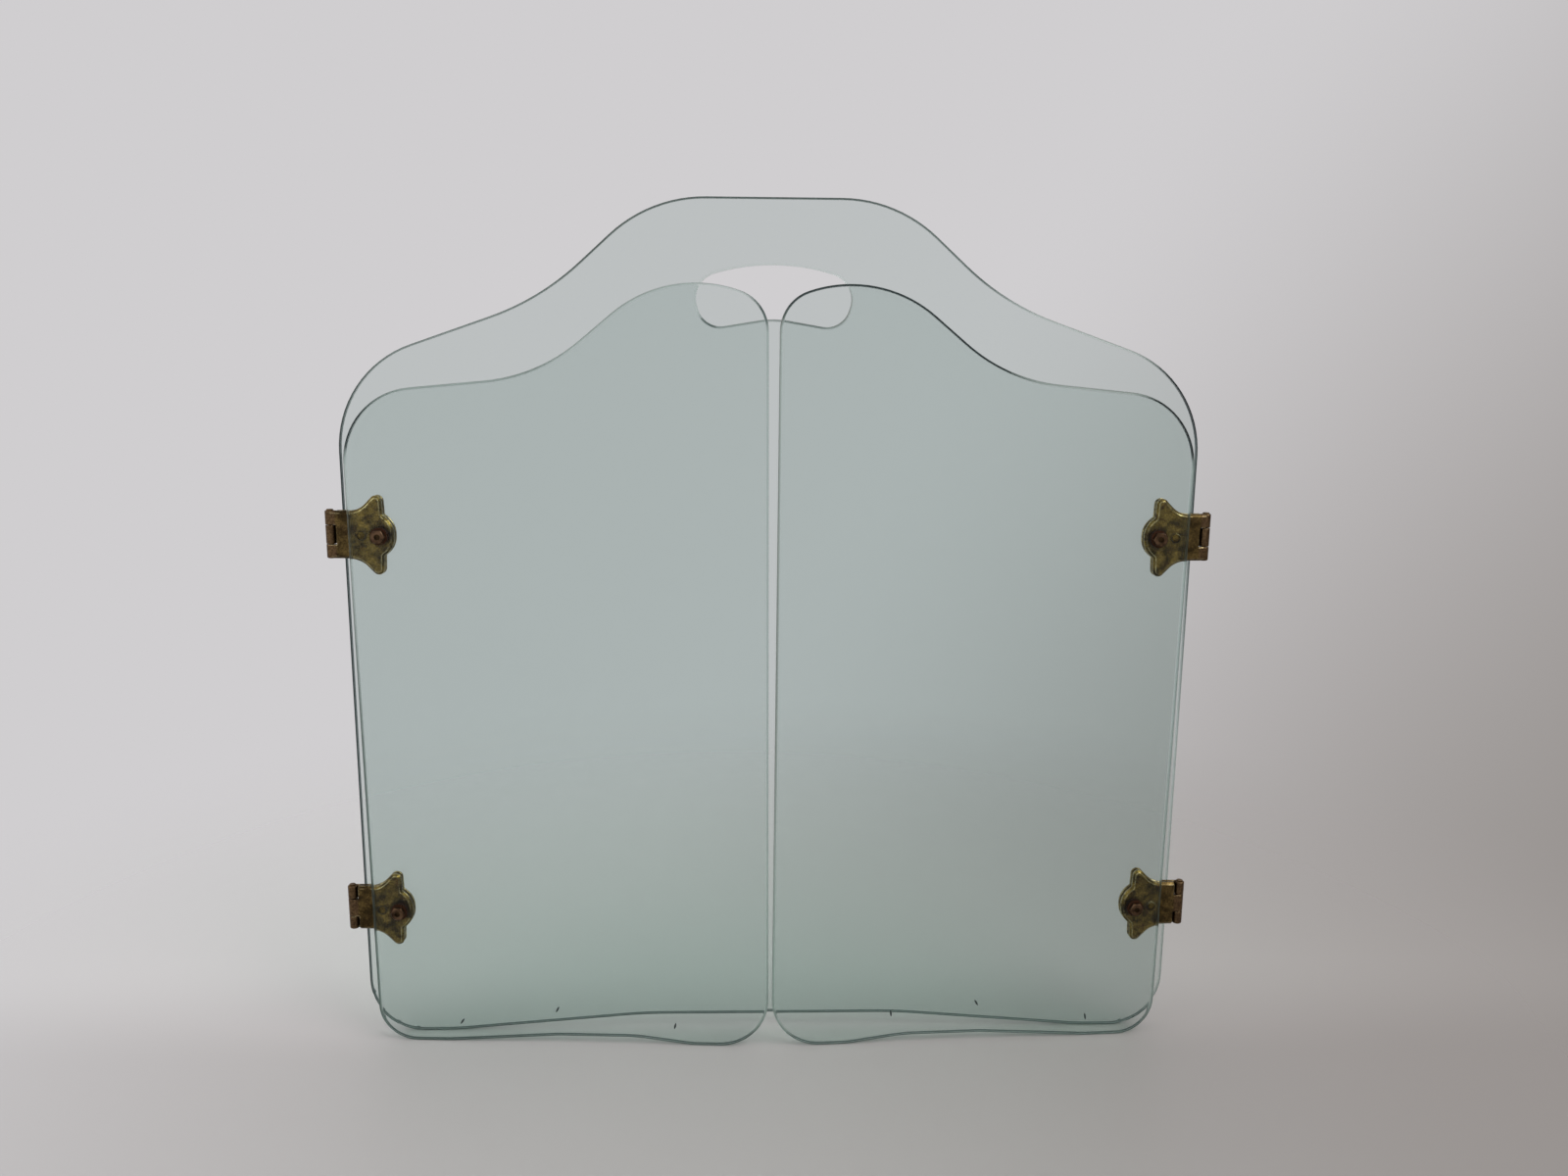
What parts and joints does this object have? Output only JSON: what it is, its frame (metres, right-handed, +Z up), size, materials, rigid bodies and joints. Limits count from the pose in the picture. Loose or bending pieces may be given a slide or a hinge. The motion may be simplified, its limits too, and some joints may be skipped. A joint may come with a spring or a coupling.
{
  "type": "folding glass fire screen",
  "caption": "Folding glass fire screen: a shaped centre pane with a hand hole, and hinged glass wings that swing on ornamental brass hinges from folded flat to opened out.",
  "frame": {"origin": "on the floor, at the middle of the screen's width and of its folded depth", "axes": "+X along the centre pane to the viewer's right, +Y away from the viewer (the wings fold on the -Y side), +Z up"},
  "size_m": [0.6208, 0.0378, 0.609],
  "materials": {
    "glass": "polished clear plate glass with a green tint and ground round edges",
    "leaf_brass": "aged cast brass, brown in the hollows and worn bright on the rims",
    "nut_brass": "turned brass gone red-brown",
    "bolt_brass": "dull turned brass",
    "pin_brass": "drawn brass wire, dull",
    "fibre": "matt red-brown vulcanised fibre"
  },
  "bodies": {
    "centre": {"centre_panel": "glass", "upper_left_centre_leaf": "leaf_brass", "upper_left_centre_bolt": "bolt_brass", "upper_left_centre_inner_washer": "fibre", "upper_left_centre_sleeve": "fibre", "upper_left_centre_outer_washer": "fibre", "upper_left_centre_nut": "nut_brass", "upper_right_centre_leaf": "leaf_brass", "upper_right_centre_bolt": "bolt_brass", "upper_right_centre_inner_washer": "fibre", "upper_right_centre_sleeve": "fibre", "upper_right_centre_outer_washer": "fibre", "upper_right_centre_nut": "nut_brass", "lower_left_centre_leaf": "leaf_brass", "lower_left_hinge_pin": "pin_brass", "lower_left_centre_bolt": "bolt_brass", "lower_left_centre_inner_washer": "fibre", "lower_left_centre_sleeve": "fibre", "lower_left_centre_outer_washer": "fibre", "lower_left_centre_nut": "nut_brass", "lower_right_centre_leaf": "leaf_brass", "lower_right_hinge_pin": "pin_brass", "lower_right_centre_bolt": "bolt_brass", "lower_right_centre_inner_washer": "fibre", "lower_right_centre_sleeve": "fibre", "lower_right_centre_outer_washer": "fibre", "lower_right_centre_nut": "nut_brass"},
    "left_wing": {"left_wing_panel": "glass", "upper_left_wing_leaf": "leaf_brass", "upper_left_hinge_pin": "pin_brass", "upper_left_wing_bolt": "bolt_brass", "upper_left_wing_inner_washer": "fibre", "upper_left_wing_sleeve": "fibre", "upper_left_wing_outer_washer": "fibre", "upper_left_wing_nut": "nut_brass", "lower_left_wing_leaf": "leaf_brass", "lower_left_wing_bolt": "bolt_brass", "lower_left_wing_inner_washer": "fibre", "lower_left_wing_sleeve": "fibre", "lower_left_wing_outer_washer": "fibre", "lower_left_wing_nut": "nut_brass"},
    "right_wing": {"right_wing_panel": "glass", "upper_right_wing_leaf": "leaf_brass", "upper_right_hinge_pin": "pin_brass", "upper_right_wing_bolt": "bolt_brass", "upper_right_wing_inner_washer": "fibre", "upper_right_wing_sleeve": "fibre", "upper_right_wing_outer_washer": "fibre", "upper_right_wing_nut": "nut_brass", "lower_right_wing_leaf": "leaf_brass", "lower_right_wing_bolt": "bolt_brass", "lower_right_wing_inner_washer": "fibre", "lower_right_wing_sleeve": "fibre", "lower_right_wing_outer_washer": "fibre", "lower_right_wing_nut": "nut_brass"}
  },
  "joints": [
    {"name": "left_wing_hinge", "type": "hinge", "parent": "centre", "child": "left_wing", "pos_m": [-0.307, 0.00611, 0.241], "axis": [0, 0, -1], "range_deg": [-3, 177]},
    {"name": "right_wing_hinge", "type": "hinge", "parent": "centre", "child": "right_wing", "pos_m": [0.307, 0.00611, 0.241], "axis": [0, 0, 1], "range_deg": [-3, 177]}
  ]
}
